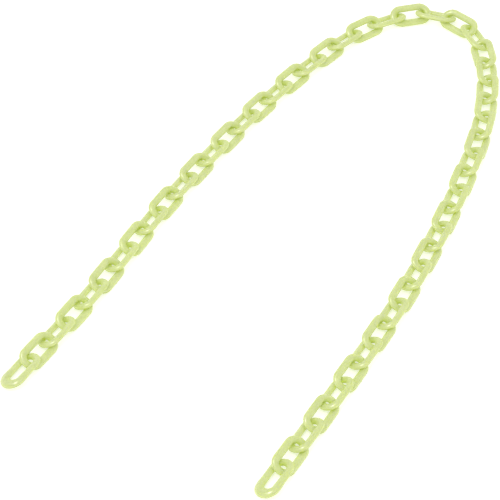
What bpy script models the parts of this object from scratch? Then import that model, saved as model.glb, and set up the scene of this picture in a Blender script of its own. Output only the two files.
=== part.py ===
"""Plastic barrier chain, laid on the floor in a long hairpin.

Fifty identical moulded links hang in one another.  Each link is a flat oval ring of
oval bar.  A chain that lies on a floor tips its links to the left and to the right in
turn, so a link leans by LINK_TILT and crosses its neighbours at twice that angle.  At
the free ends of the chain the last links lie flatter, and their neighbours steeper.

Units are metres, +Z is up, and the floor is z = 0.  The origin is on the floor, under
the middle of the laid chain.
"""

import math

import bmesh
import bpy
from mathutils import Matrix, Vector

MM = 0.001

# One link
LINK_LENGTH = 40.7 * MM         # over the outside of both round ends
LINK_WIDTH = 21.9 * MM          # over the outside of both side bars
BAR_WIDTH = 6.3 * MM            # the bar, measured in the plane of the link
BAR_THICKNESS = 4.6 * MM        # the bar, measured across the plane of the link
BAR_CREST = 0.8 * MM            # width of the flat along the top and bottom of the bar
ARC_SEGMENTS = 8                # facets round each end of the link

# The chain
LINK_COUNT = 50
HEAD_LINK = 25                  # the link at the head of the hairpin, which both legs start from
LINK_TILT = math.radians(24.5)  # lean of a link's plane away from the floor
LINK_PLAY = 2.4 * MM            # slack where two end bars hook into each other
END_TILT = math.radians(18.5)   # the first and the last link lie flatter
SECOND_TILT = math.radians(26.5)  # their neighbours lie a little steeper
END_PITCH = math.radians(2.5)   # the free ends dip to the floor
END_SLACK = 0.8 * MM            # and the end links are pushed this much further in

# The line that the chain follows on the floor, from the free end of the left leg,
# round the head of the hairpin, to the free end of the right leg
ROUTE = (
    (-0.210, -0.195),
    (-0.163, -0.116),
    (-0.082, 0.040),
    (-0.004, 0.164),
    (0.041, 0.222),
    (0.076, 0.260),
    (0.121, 0.288),
    (0.149, 0.294),
    (0.194, 0.264),
    (0.202, 0.235),
    (0.204, 0.198),
    (0.197, 0.135),
    (0.176, 0.060),
    (0.127, -0.070),
    (0.053, -0.216),
    (-0.008, -0.326),
)
ROUTE_SAMPLES = 60              # points that the smooth line has between two route points

# Luminous plastic, pale yellow-green
PLASTIC_COLOUR = (0.66, 0.76, 0.26, 1.0)
PLASTIC_ROUGHNESS = 0.35

# Sizes that follow from the ones above
ARC_RADIUS = (LINK_WIDTH - BAR_WIDTH) / 2           # centre line of a round end
SIDE_LENGTH = LINK_LENGTH - LINK_WIDTH              # from the centre of one end arc to the other
HOOK_LENGTH = 2 * ARC_RADIUS - BAR_WIDTH - LINK_PLAY  # between two hooked links' end-arc centres
PITCH = SIDE_LENGTH + HOOK_LENGTH                   # what each link adds to the chain
END_PIVOT = (ARC_RADIUS - HOOK_LENGTH + END_SLACK) / 2  # from an end link's arc centre to its hinge
UP = Vector((0.0, 0.0, 1.0))


def clear_scene():
    for obj in list(bpy.data.objects):
        bpy.data.objects.remove(obj, do_unlink=True)


def plastic_material():
    material = bpy.data.materials.new("luminous_plastic")
    material.use_nodes = True
    shader = material.node_tree.nodes["Principled BSDF"]
    shader.inputs["Base Color"].default_value = PLASTIC_COLOUR
    shader.inputs["Roughness"].default_value = PLASTIC_ROUGHNESS
    shader.inputs["Metallic"].default_value = 0.0
    material.diffuse_color = PLASTIC_COLOUR
    return material


def bar_section():
    """Corners of the bar as (outwards in the link's plane, across the plane).

    The four slanted faces have the slope of LINK_TILT, so a tipped link lies flat on one.
    """
    half_width = BAR_WIDTH / 2
    half_thickness = BAR_THICKNESS / 2
    crest = BAR_CREST / 2
    shoulder = half_thickness - (half_width - crest) * math.tan(LINK_TILT)
    quarter = ((half_width, shoulder), (crest, half_thickness))
    upper = list(quarter) + [(-x, y) for x, y in reversed(quarter)]
    return upper + [(x, -y) for x, y in reversed(upper)]


def rest_height(tilt):
    """How far the middle of a leaning link is above the floor that its lower bar lies on."""
    corners = bar_section()
    return max((ARC_RADIUS + x) * math.sin(tilt) + y * math.cos(tilt) for x, y in corners)


def ring_stations(pivot):
    """Centre line of a link as (point, outward direction), once round.

    The origin is on the link's hinge, which is further inside the ring than the centre of
    its first end arc by the pivot distance.
    """
    stations = []
    for centre_x, first_angle in ((-pivot, math.pi / 2), (SIDE_LENGTH - pivot, -math.pi / 2)):
        for step in range(ARC_SEGMENTS + 1):
            angle = first_angle + math.pi * step / ARC_SEGMENTS
            outward = Vector((math.cos(angle), math.sin(angle), 0.0))
            stations.append((Vector((centre_x, 0.0, 0.0)) + ARC_RADIUS * outward, outward))
    return stations


def link_mesh(material, pivot):
    """The bar's section carried round the ring, closed on itself."""
    bm = bmesh.new()
    rings = []
    for point, outward in ring_stations(pivot):
        rings.append([bm.verts.new(point + x * outward + y * UP) for x, y in bar_section()])
    for index, ring in enumerate(rings):
        following = rings[(index + 1) % len(rings)]
        for side in range(len(ring)):
            across = (side + 1) % len(ring)
            bm.faces.new((ring[side], following[side], following[across], ring[across]))
    bmesh.ops.recalc_face_normals(bm, faces=bm.faces)
    mesh = bpy.data.meshes.new("link")
    bm.to_mesh(mesh)
    bm.free()
    mesh.materials.append(material)
    return mesh


def smooth_route():
    """A smooth line through the route's points, as closely spaced points."""
    knots = [Vector(point) for point in ROUTE]
    spans = [(b - a).length for a, b in zip(knots, knots[1:])]
    slopes = [(b - a) / span for a, b, span in zip(knots, knots[1:], spans)]
    tangents = []
    for before, after, slope_in, slope_out in zip(spans, spans[1:], slopes, slopes[1:]):
        tangents.append((slope_in * after + slope_out * before) / (before + after))
    tangents.insert(0, 2 * slopes[0] - tangents[0])
    tangents.append(2 * slopes[-1] - tangents[-1])
    line = []
    for index, span in enumerate(spans):
        for step in range(ROUTE_SAMPLES):
            u = step / ROUTE_SAMPLES
            line.append(
                (2 * u**3 - 3 * u**2 + 1) * knots[index]
                + (u**3 - 2 * u**2 + u) * span * tangents[index]
                + (3 * u**2 - 2 * u**3) * knots[index + 1]
                + (u**3 - u**2) * span * tangents[index + 1]
            )
    line.append(knots[-1])
    return line


def link_headings():
    """The direction of each link on the floor, stepping along the route one pitch at a time."""
    line = smooth_route()
    headings = []
    here = line[0]
    nearest = 0
    while len(headings) < LINK_COUNT:
        while nearest < len(line) - 1 and (line[nearest] - here).length < PITCH:
            nearest += 1
        heading = (line[nearest] - here).normalized()
        headings.append(heading.to_3d())
        here = here + PITCH * heading
    return headings


def link_along(index, heading):
    """The direction of a link's length; only the two end links aren't level."""
    pitch = {1: END_PITCH, LINK_COUNT: -END_PITCH}.get(index, 0.0)
    return math.cos(pitch) * heading + math.sin(pitch) * UP


def link_normal(index, along):
    """The upward normal of a link's plane; odd links lean to the left and even ones to the right."""
    tilt = LINK_TILT
    if index in (1, LINK_COUNT):
        tilt = END_TILT
    elif index in (2, LINK_COUNT - 1):
        tilt = SECOND_TILT
    lean = tilt if index % 2 else -tilt
    leftward = UP.cross(along).normalized()
    return math.cos(lean) * along.cross(leftward) + math.sin(lean) * leftward


def lay_links():
    """The centre, direction and normal of every link, each hooked into the one before."""
    alongs = [link_along(index, heading) for index, heading in enumerate(link_headings(), start=1)]
    normals = [link_normal(index, along) for index, along in enumerate(alongs, start=1)]
    hooks = []
    for before, after, along in zip(normals, normals[1:], alongs[1:]):
        # Two crossed rings bear on each other along the line that both planes share
        hook = HOOK_LENGTH * before.cross(after).normalized()
        hooks.append(hook if hook.dot(along) > 0 else -hook)
    for end in (0, -1):
        hooks[end] -= END_SLACK * hooks[end].normalized()
    steps = [(a + b) * SIDE_LENGTH / 2 + hook for a, b, hook in zip(alongs, alongs[1:], hooks)]
    centres = [Vector((0.0, 0.0, 0.0))]
    for step in steps:
        centres.append(centres[-1] + Vector((step.x, step.y, 0.0)))
    # Odd links lie on the floor; round a bend, each even link rides above its two neighbours
    for index in range(1, LINK_COUNT - 1, 2):
        climbs = [steps[index - 1].z, -steps[index].z] if index > 1 else [-steps[index].z]
        centres[index].z = max(0.0, sum(climbs) / len(climbs))
    for index in (1, LINK_COUNT - 2):
        centres[index].z += rest_height(SECOND_TILT) - rest_height(LINK_TILT)
    centres[0].z = centres[1].z - steps[0].z
    centres[-1].z = centres[-2].z + steps[-1].z
    return list(zip(centres, alongs, normals))


def link_pivot(index):
    return END_PIVOT if index in (1, LINK_COUNT) else 0.0


def link_matrix(index, centre, along, normal):
    """Place a link with its origin where it hooks into the next link towards the head link."""
    if index < HEAD_LINK:
        along = -along
    frame = Matrix((along, normal.cross(along), normal)).transposed().to_4x4()
    return Matrix.Translation(centre + along * (link_pivot(index) - SIDE_LENGTH / 2)) @ frame


def settle(meshes, matrices):
    """Shift the layout so that it stands on the floor with the origin under its middle."""
    points = [matrix @ v.co for mesh, matrix in zip(meshes, matrices) for v in mesh.vertices]
    lows = [min(point[axis] for point in points) for axis in range(3)]
    highs = [max(point[axis] for point in points) for axis in range(3)]
    middle = Vector(((lows[0] + highs[0]) / 2, (lows[1] + highs[1]) / 2, lows[2]))
    return [Matrix.Translation(-middle) @ matrix for matrix in matrices]


def build_chain():
    material = plastic_material()
    shapes = {pivot: link_mesh(material, pivot) for pivot in (0.0, END_PIVOT)}
    laid = list(enumerate(lay_links(), start=1))
    meshes = [shapes[link_pivot(index)] for index, _ in laid]
    matrices = settle(meshes, [link_matrix(index, *link) for index, link in laid])
    for index, (mesh, matrix) in enumerate(zip(meshes, matrices), start=1):
        link = bpy.data.objects.new(f"link_{index:02d}", mesh)
        link.location = matrix.to_translation()
        link.rotation_euler = matrix.to_euler()
        bpy.context.scene.collection.objects.link(link)


clear_scene()
build_chain()
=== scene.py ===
"""Plastic barrier chain in pale luminous plastic, laid on a white floor in a long hairpin.

Every link is a smooth oval ring built here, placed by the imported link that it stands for.
"""

import math
import random

import bpy
import numpy as np
from mathutils import Matrix


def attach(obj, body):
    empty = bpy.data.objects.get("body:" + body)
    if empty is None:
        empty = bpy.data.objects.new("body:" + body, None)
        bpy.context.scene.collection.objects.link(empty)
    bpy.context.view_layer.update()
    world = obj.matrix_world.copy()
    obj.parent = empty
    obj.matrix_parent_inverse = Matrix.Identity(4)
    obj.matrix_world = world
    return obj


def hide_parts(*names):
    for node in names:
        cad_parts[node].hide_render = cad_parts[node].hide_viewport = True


MM = 0.001

# The ring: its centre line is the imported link's own
ARC_RADIUS = 7.8 * MM           # centre line of a round end
SIDE_LENGTH = 18.8 * MM         # straight part of a side bar
BAR_HALF_WIDTH = 3.4 * MM       # the bar, measured in the plane of the link
BAR_HALF_THICKNESS = 2.4 * MM   # the bar, measured across the plane of the link
SECTION_ANGLES = (0, 8, 16, 26, 36, 47, 58, 69, 80, 90)  # degrees, over a quarter of the bar
ARC_STEPS = 26                  # steps round each end
SIDE_STEPS = (-0.5, -0.4, -0.28, -0.16, -0.08, -0.052, -0.036, -0.018, 0.0,
              0.018, 0.036, 0.052, 0.08, 0.16, 0.28, 0.4, 0.5)  # parts of a side, closer at the gate
EYE_RELIEF = 0.15 * MM          # the inside of the bar is hollowed round each end, for the neighbour
SIZE_SPREAD = 0.004             # how much the bars of two links may differ

# The free half of an end link is stouter
STOUT_SCALE = 0.11              # the whole section
STOUT_IN = 0.7 * MM             # and more at the free end: inwards, outwards, up and down
STOUT_OUT = 1.2 * MM
STOUT_THICK = 0.3 * MM

# Marks that the mould leaves
SEAM_HALF_WIDTH = 0.16 * MM     # raised line where the mould halves meet
SEAM_HEIGHT = 0.04 * MM
SEAM_EDGE = 0.42 * MM           # where the bar beside the line takes up its oval
SEAM_CLEAR = 0.6 * MM           # no other corners of the outline this near the line
GATE_RADIUS = 0.85 * MM         # stub where the plastic came in, on the outside of one side bar
GATE_HEIGHT = 0.20 * MM

FIRST_SEED = 1000

# Floor, light and camera
FLOOR_SIZE = 12.0
FLOOR_CELLS = 8
FLOOR_HEIGHT = -0.48 * MM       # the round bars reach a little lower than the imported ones
WORLD_STRENGTH = 0.95
KEY_PLACE, KEY_SIZE, KEY_POWER = (-0.5, -0.9, 1.9), (0.9, 0.7), 7.0
GLOSS_PLACE, GLOSS_SIZE, GLOSS_POWER = (-0.78, 0.0, 2.2), (0.40, 0.40), 26.0
CAMERA_PLACE = (0.0325, -1.3381, 1.3617)
CAMERA_TURN = (43.885, 0.0, 2.030)  # degrees
CAMERA_LENS = 153.0             # mm, on a 36 mm sensor

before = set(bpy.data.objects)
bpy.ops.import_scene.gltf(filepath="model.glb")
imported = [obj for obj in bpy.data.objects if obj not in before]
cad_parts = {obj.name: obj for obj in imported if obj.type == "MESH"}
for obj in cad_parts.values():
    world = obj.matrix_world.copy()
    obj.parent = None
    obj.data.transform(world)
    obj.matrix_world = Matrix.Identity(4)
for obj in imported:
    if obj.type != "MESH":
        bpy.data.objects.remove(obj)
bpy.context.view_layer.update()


# ---------------------------------------------------------------- shape of a link

def smooth_step(value):
    return value * value * (3 - 2 * value)


def section():
    """The bar's outline as (outwards in the link's plane, across it), with the seam on both sides."""
    oval = [(BAR_HALF_WIDTH * math.cos(math.radians(angle)),
             BAR_HALF_THICKNESS * math.sin(math.radians(angle))) for angle in SECTION_ANGLES]
    oval[-1] = (0.0, BAR_HALF_THICKNESS)
    quarter = [
        (BAR_HALF_WIDTH + SEAM_HEIGHT, 0.0),
        (BAR_HALF_WIDTH, SEAM_HALF_WIDTH),
        (BAR_HALF_WIDTH - 0.004 * MM, SEAM_EDGE),
    ]
    quarter += [(x, y) for x, y in oval if y > SEAM_CLEAR]
    upper = quarter + [(-x, y) for x, y in reversed(quarter[:-1])]
    lower = [(x, -y) for x, y in reversed(upper[1:-1])]
    return np.array(upper + lower)


def stations():
    """Centre line once round: (x, y, outward x, outward y)."""
    line = []
    for side in (1, -1):
        for step in range(ARC_STEPS + 1):
            angle = side * math.pi / 2 * (1 - 2 * step / ARC_STEPS)
            if side < 0:
                angle = math.pi - angle
            c, s = math.cos(angle), math.sin(angle)
            line.append((side * SIDE_LENGTH / 2 + ARC_RADIUS * c, ARC_RADIUS * s, c, s))
        for part in SIDE_STEPS[1:-1]:
            line.append((-side * part * SIDE_LENGTH, -side * ARC_RADIUS, 0.0, -float(side)))
    return np.array(line)


def ring_arrays(rng, free):
    """Vertices, quads and the paint layers of one link, in its own frame.

    Free is +1 or -1 for an end link, the side of its free end, and 0 for the others.
    """
    outline = section()
    line = stations()
    rows, cols = len(line), len(outline)
    x, y, out_x, out_y = (line[:, column][:, None] for column in range(4))
    bulge = outline[:, 0][None, :]
    across = outline[:, 1][None, :]
    crown = np.abs(out_x)       # 1 at the middle of a round end, 0 along the sides
    inner = np.clip(-bulge / BAR_HALF_WIDTH, 0, 1)
    outer = np.clip(bulge / BAR_HALF_WIDTH, 0, 1)
    ease = smooth_step(np.clip(free * x / (SIDE_LENGTH / 2), 0, 1)) * abs(free)
    stout_crown = ease * crown ** 1.5
    radial = bulge * (1 + rng.uniform(-SIZE_SPREAD, SIZE_SPREAD) + STOUT_SCALE * ease)
    radial = radial + inner * EYE_RELIEF * np.clip(3 * crown, 0, 1)
    radial = radial - inner * STOUT_IN * stout_crown + outer * STOUT_OUT * stout_crown
    thick = across * (1 + STOUT_SCALE * ease + STOUT_THICK / BAR_HALF_THICKNESS * stout_crown)
    # The gate stub, on the outside of one side bar
    stub = smooth_step(np.clip((GATE_RADIUS - np.hypot(x, across)) / (0.3 * GATE_RADIUS), 0, 1))
    radial = radial + GATE_HEIGHT * stub * ((out_y < -0.99) & (bulge > 0))
    verts = np.stack([x + radial * out_x, y + radial * out_y, thick], -1)
    # Faces between each station and the next
    index = np.arange(rows * cols).reshape(rows, cols)
    after = np.roll(index, -1, 0)
    quads = np.stack([index, np.roll(index, -1, 1), np.roll(after, -1, 1), after], -1)
    # Paint: where a neighbour bears (rubbed, with painted shade where the links cross), the outer rim,
    # and painted shade underneath and in the hollows of the ends
    under = np.clip(-across / BAR_HALF_THICKNESS, 0, 1)
    layers = {
        "rub_and_shade": crown ** 1.5 * inner ** 0.7,
        "rim": np.repeat(outer ** 2, rows, 0),
        "painted_shade": np.clip(0.9 * under + 0.8 * crown ** 2 * inner ** 0.5, 0, 1),
        "batch": np.full((rows, cols), rng.random()),
    }
    layers = {key: layer.reshape(-1) for key, layer in layers.items()}
    return verts.reshape(-1, 3), quads.reshape(-1, 4), layers


def link_frame(node):
    """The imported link's centre and axes: along it, and up out of its plane."""
    points = np.empty(len(node.data.vertices) * 3)
    node.data.vertices.foreach_get("co", points)
    points = np.unique(np.round(points.reshape(-1, 3), 6), axis=0)
    # Corners lie in mirror pairs, so their mean is the centre
    centre = points.mean(0)
    _, _, axes = np.linalg.svd(points - centre, full_matrices=False)
    along, up = axes[0], axes[2]
    if up[2] < 0:
        up = -up
    return centre, along, up


def add_layer(mesh, name, values):
    attribute = mesh.attributes.new(name, "FLOAT", "POINT")
    attribute.data.foreach_set("value", np.asarray(values, dtype=np.float32))


def link_object(name, centre, along, up, free, material, seed):
    verts, quads, layers = ring_arrays(random.Random(seed), free)
    mesh = bpy.data.meshes.new(name)
    mesh.from_pydata(verts.tolist(), [], quads.tolist())
    for layer, values in layers.items():
        add_layer(mesh, layer, values)
    mesh.update()
    mesh.shade_smooth()
    mesh.materials.append(material)
    matrix = np.eye(4)
    matrix[:3] = np.stack([along, np.cross(up, along), up, centre], 1)
    # How far each point faces the floor that the chain lies on, the mask for the painted shade
    # underneath
    normals = np.empty(len(verts) * 3)
    mesh.vertices.foreach_get("normal", normals)
    down = -normals.reshape(-1, 3) @ matrix[2, :3]
    add_layer(mesh, "painted_underside_shade", smooth_step(np.clip((down + 0.50) / 0.75, 0, 1)))
    piece = bpy.data.objects.new(name, mesh)
    bpy.context.scene.collection.objects.link(piece)
    piece.matrix_world = Matrix(matrix.tolist())
    return piece


# ---------------------------------------------------------------- material

class Nodes:
    """A short way to add nodes and join them."""

    def __init__(self, material):
        material.use_nodes = True
        self.tree = material.node_tree
        self.shader = self.tree.nodes["Principled BSDF"]

    def add(self, kind, **settings):
        node = self.tree.nodes.new(kind)
        for key, value in settings.items():
            setattr(node, key, value)
        return node

    def join(self, a, b):
        self.tree.links.new(a, b)

    def feed(self, sockets, values):
        """Give each socket its number, colour or vector, or the output that drives it."""
        for socket, value in zip(sockets, values):
            if isinstance(value, (int, float, tuple)):
                socket.default_value = value
            else:
                self.join(value, socket)

    def math(self, operation, a, b):
        node = self.add("ShaderNodeMath", operation=operation)
        self.feed(node.inputs, (a, b))
        return node.outputs[0]

    def vector(self, operation, a, b):
        node = self.add("ShaderNodeVectorMath", operation=operation)
        self.feed(node.inputs, (a, b))
        return node.outputs[0]

    def mix(self, factor, a, b):
        node = self.add("ShaderNodeMix", data_type="RGBA")
        self.feed((node.inputs[0], node.inputs[6], node.inputs[7]), (factor, a, b))
        return node.outputs[2]

    def tint(self, colour, mask, strength, paint):
        """Lay a paint over the colour where the mask is."""
        return self.mix(self.math("MULTIPLY", mask, strength), colour, paint)

    def attribute(self, name):
        return self.add("ShaderNodeAttribute", attribute_name=name).outputs["Fac"]

    def noise(self, vector, scale, detail, roughness=0.5):
        node = self.add("ShaderNodeTexNoise")
        self.feed([node.inputs[name] for name in ("Vector", "Scale", "Detail", "Roughness")],
                  (vector, scale, detail, roughness))
        return node.outputs["Fac"]

    def remap(self, value, low, high, to_low, to_high):
        node = self.add("ShaderNodeMapRange", clamp=True)
        self.feed([node.inputs[name] for name in ("Value", "From Min", "From Max", "To Min", "To Max")],
                  (value, low, high, to_low, to_high))
        return node.outputs["Result"]

    def set(self, **values):
        """Constants on the shader's own sockets, with an underscore for each space."""
        for name, value in values.items():
            self.shader.inputs[name.replace("_", " ")].default_value = value


def luminous_plastic():
    """Pale yellow-green phosphorescent plastic: milky, lets light in, and has a soft gloss; its colour
    carries painted shade, and it has a painted glow.
    """
    material = bpy.data.materials.new("luminous_plastic_look")
    n = Nodes(material)
    # Each link reads the patterns at a place of its own
    batch = n.attribute("batch")
    shift = n.add("ShaderNodeCombineXYZ")
    n.join(n.math("MULTIPLY", batch, 3.1), shift.inputs[0])
    n.join(n.math("MULTIPLY", batch, 1.7), shift.inputs[1])
    place = n.vector("ADD", n.add("ShaderNodeTexCoord").outputs["Object"], shift.outputs[0])
    # Cloudy pigment, and swirls drawn out along the bar
    cloud = n.remap(n.noise(place, 95, 3), 0.32, 0.68, 0, 1)
    drawn_out = n.vector("MULTIPLY", place, (0.25, 1.0, 1.0))
    swirl = n.remap(n.noise(drawn_out, 420, 4, 0.6), 0.42, 0.66, 0, 1)
    colour = n.mix(cloud, (0.462, 0.488, 0.285, 1), (0.510, 0.527, 0.330, 1))
    colour = n.tint(colour, swirl, 0.16, (0.60, 0.63, 0.39, 1))
    # Painted shade: deeper and more olive underneath, and in the hollows of the ends
    colour = n.tint(colour, n.attribute("painted_shade"), 0.50, (0.400, 0.455, 0.090, 1))
    # Painted shade: the side that faces the floor is darkened to a deep olive
    colour = n.tint(colour, n.attribute("painted_underside_shade"), 0.62, (0.250, 0.270, 0.055, 1))
    # Links come from several batches, with a slightly different tone each
    colour = n.tint(colour, batch, 0.22, (0.51, 0.58, 0.25, 1))
    # Pigment grains
    grains = n.add("ShaderNodeTexVoronoi", feature="F1")
    n.feed((grains.inputs["Vector"], grains.inputs["Scale"]), (place, 1900))
    grain = n.remap(grains.outputs["Distance"], 0.10, 0.26, 1, 0)
    colour = n.tint(colour, grain, 0.14, (0.72, 0.75, 0.48, 1))
    # The outer rim is scuffed darker; the bearing faces inside the ends are rubbed, and carry a painted
    # shade of deeper yellow-green where the links cross
    scuff = n.noise(place, 700, 5, 0.65)
    rim = n.math("MULTIPLY", n.attribute("rim"), n.remap(scuff, 0.40, 0.64, 0.15, 1))
    colour = n.tint(colour, rim, 0.50, (0.40, 0.43, 0.22, 1))
    wear = n.remap(n.noise(place, 260, 4, 0.6), 0.36, 0.62, 0.1, 1)
    rub_and_shade = n.math("MULTIPLY", n.attribute("rub_and_shade"), wear)
    colour = n.tint(colour, rub_and_shade, 0.30, (0.46, 0.54, 0.14, 1))
    n.join(colour, n.shader.inputs["Base Color"])
    # Soft gloss, duller where it is rubbed
    rough = n.math("ADD", n.remap(scuff, 0.35, 0.68, 0.22, 0.36), n.math("MULTIPLY", rub_and_shade, 0.12))
    n.join(rough, n.shader.inputs["Roughness"])
    # Faint moulded texture
    bump = n.add("ShaderNodeBump")
    bump.inputs["Strength"].default_value = 0.25
    bump.inputs["Distance"].default_value = 0.06 * MM
    n.join(n.noise(place, 520, 5, 0.6), bump.inputs["Height"])
    n.join(bump.outputs["Normal"], n.shader.inputs["Normal"])
    n.set(IOR=1.49, Coat_Weight=0.25, Coat_Roughness=0.22)
    # Painted light: a faint yellow-green glow of the plastic's own, which lifts the shaded hollows
    n.set(Emission_Color=(0.74, 1.0, 0.03, 1.0), Emission_Strength=0.175)
    n.set(Subsurface_Weight=1.0, Subsurface_Radius=(1.0, 1.0, 0.5), Subsurface_Scale=6 * MM)
    material.diffuse_color = (0.64, 0.74, 0.27, 1)
    return material


def floor_material():
    """White light table: pale, dull, and with a little glow of its own."""
    material = bpy.data.materials.new("white_floor")
    n = Nodes(material)
    where = n.add("ShaderNodeTexCoord").outputs["Object"]
    tone = n.remap(n.noise(where, 3, 2), 0.3, 0.7, 0, 1)
    n.join(n.mix(tone, (0.84, 0.84, 0.84, 1), (0.86, 0.86, 0.86, 1)), n.shader.inputs["Base Color"])
    n.set(Emission_Color=(1.0, 1.0, 1.0, 1.0), Emission_Strength=0.42)
    n.set(Roughness=0.9, Specular_IOR_Level=0.1)
    return material


# ---------------------------------------------------------------- the chain

plastic = luminous_plastic()
names = sorted(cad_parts)
places = [link_frame(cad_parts[name]) for name in names]
for number, (name, (centre, along, up)) in enumerate(zip(names, places), start=1):
    free = 0
    if number in (1, len(names)):
        neighbour = places[1 if number == 1 else -2][0]
        free = 1 if np.dot(centre - neighbour, along) > 0 else -1
    piece = link_object(name + "_ring", centre, along, up, free, plastic, FIRST_SEED + number)
    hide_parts(name)
    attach(piece, name)


# ---------------------------------------------------------------- floor, light, camera

def build_floor():
    ticks = np.linspace(-FLOOR_SIZE / 2, FLOOR_SIZE / 2, FLOOR_CELLS + 1)
    verts = [(x, y, FLOOR_HEIGHT) for y in ticks for x in ticks]
    corners = np.arange(len(verts)).reshape(FLOOR_CELLS + 1, FLOOR_CELLS + 1)
    quads = np.stack([corners[:-1, :-1], corners[:-1, 1:], corners[1:, 1:], corners[1:, :-1]], -1)
    mesh = bpy.data.meshes.new("floor")
    mesh.from_pydata(verts, [], quads.reshape(-1, 4).tolist())
    mesh.materials.append(floor_material())
    floor = bpy.data.objects.new("floor", mesh)
    bpy.context.scene.collection.objects.link(floor)


def add_area_light(name, place, size, power):
    """A rectangular panel that faces the origin."""
    light = bpy.data.lights.new(name, "AREA")
    light.shape = "RECTANGLE"
    light.size, light.size_y = size
    light.energy = power
    lamp = bpy.data.objects.new(name, light)
    lamp.location = place
    away = np.array(place) / np.linalg.norm(place)
    lamp.rotation_euler = (math.acos(away[2]), 0.0, -math.atan2(-away[0], -away[1]))
    bpy.context.scene.collection.objects.link(lamp)
    return lamp


build_floor()
add_area_light("key_softbox", KEY_PLACE, KEY_SIZE, KEY_POWER)
# This panel only shows as streaks in the gloss
gloss = add_area_light("gloss_panel", GLOSS_PLACE, GLOSS_SIZE, GLOSS_POWER)
gloss.visible_diffuse = False

world = bpy.data.worlds.new("studio")
world.use_nodes = True
background = world.node_tree.nodes["Background"]
background.inputs["Color"].default_value = (1.0, 1.0, 1.0, 1.0)
background.inputs["Strength"].default_value = WORLD_STRENGTH
bpy.context.scene.world = world
bpy.context.scene.view_settings.view_transform = "Standard"

camera_data = bpy.data.cameras.new("camera")
camera_data.lens = CAMERA_LENS
camera_data.sensor_width = 36.0
camera_data.clip_start = 0.05
camera_data.clip_end = 50.0
camera = bpy.data.objects.new("camera", camera_data)
camera.location = CAMERA_PLACE
camera.rotation_euler = [math.radians(angle) for angle in CAMERA_TURN]
bpy.context.scene.collection.objects.link(camera)
bpy.context.scene.camera = camera
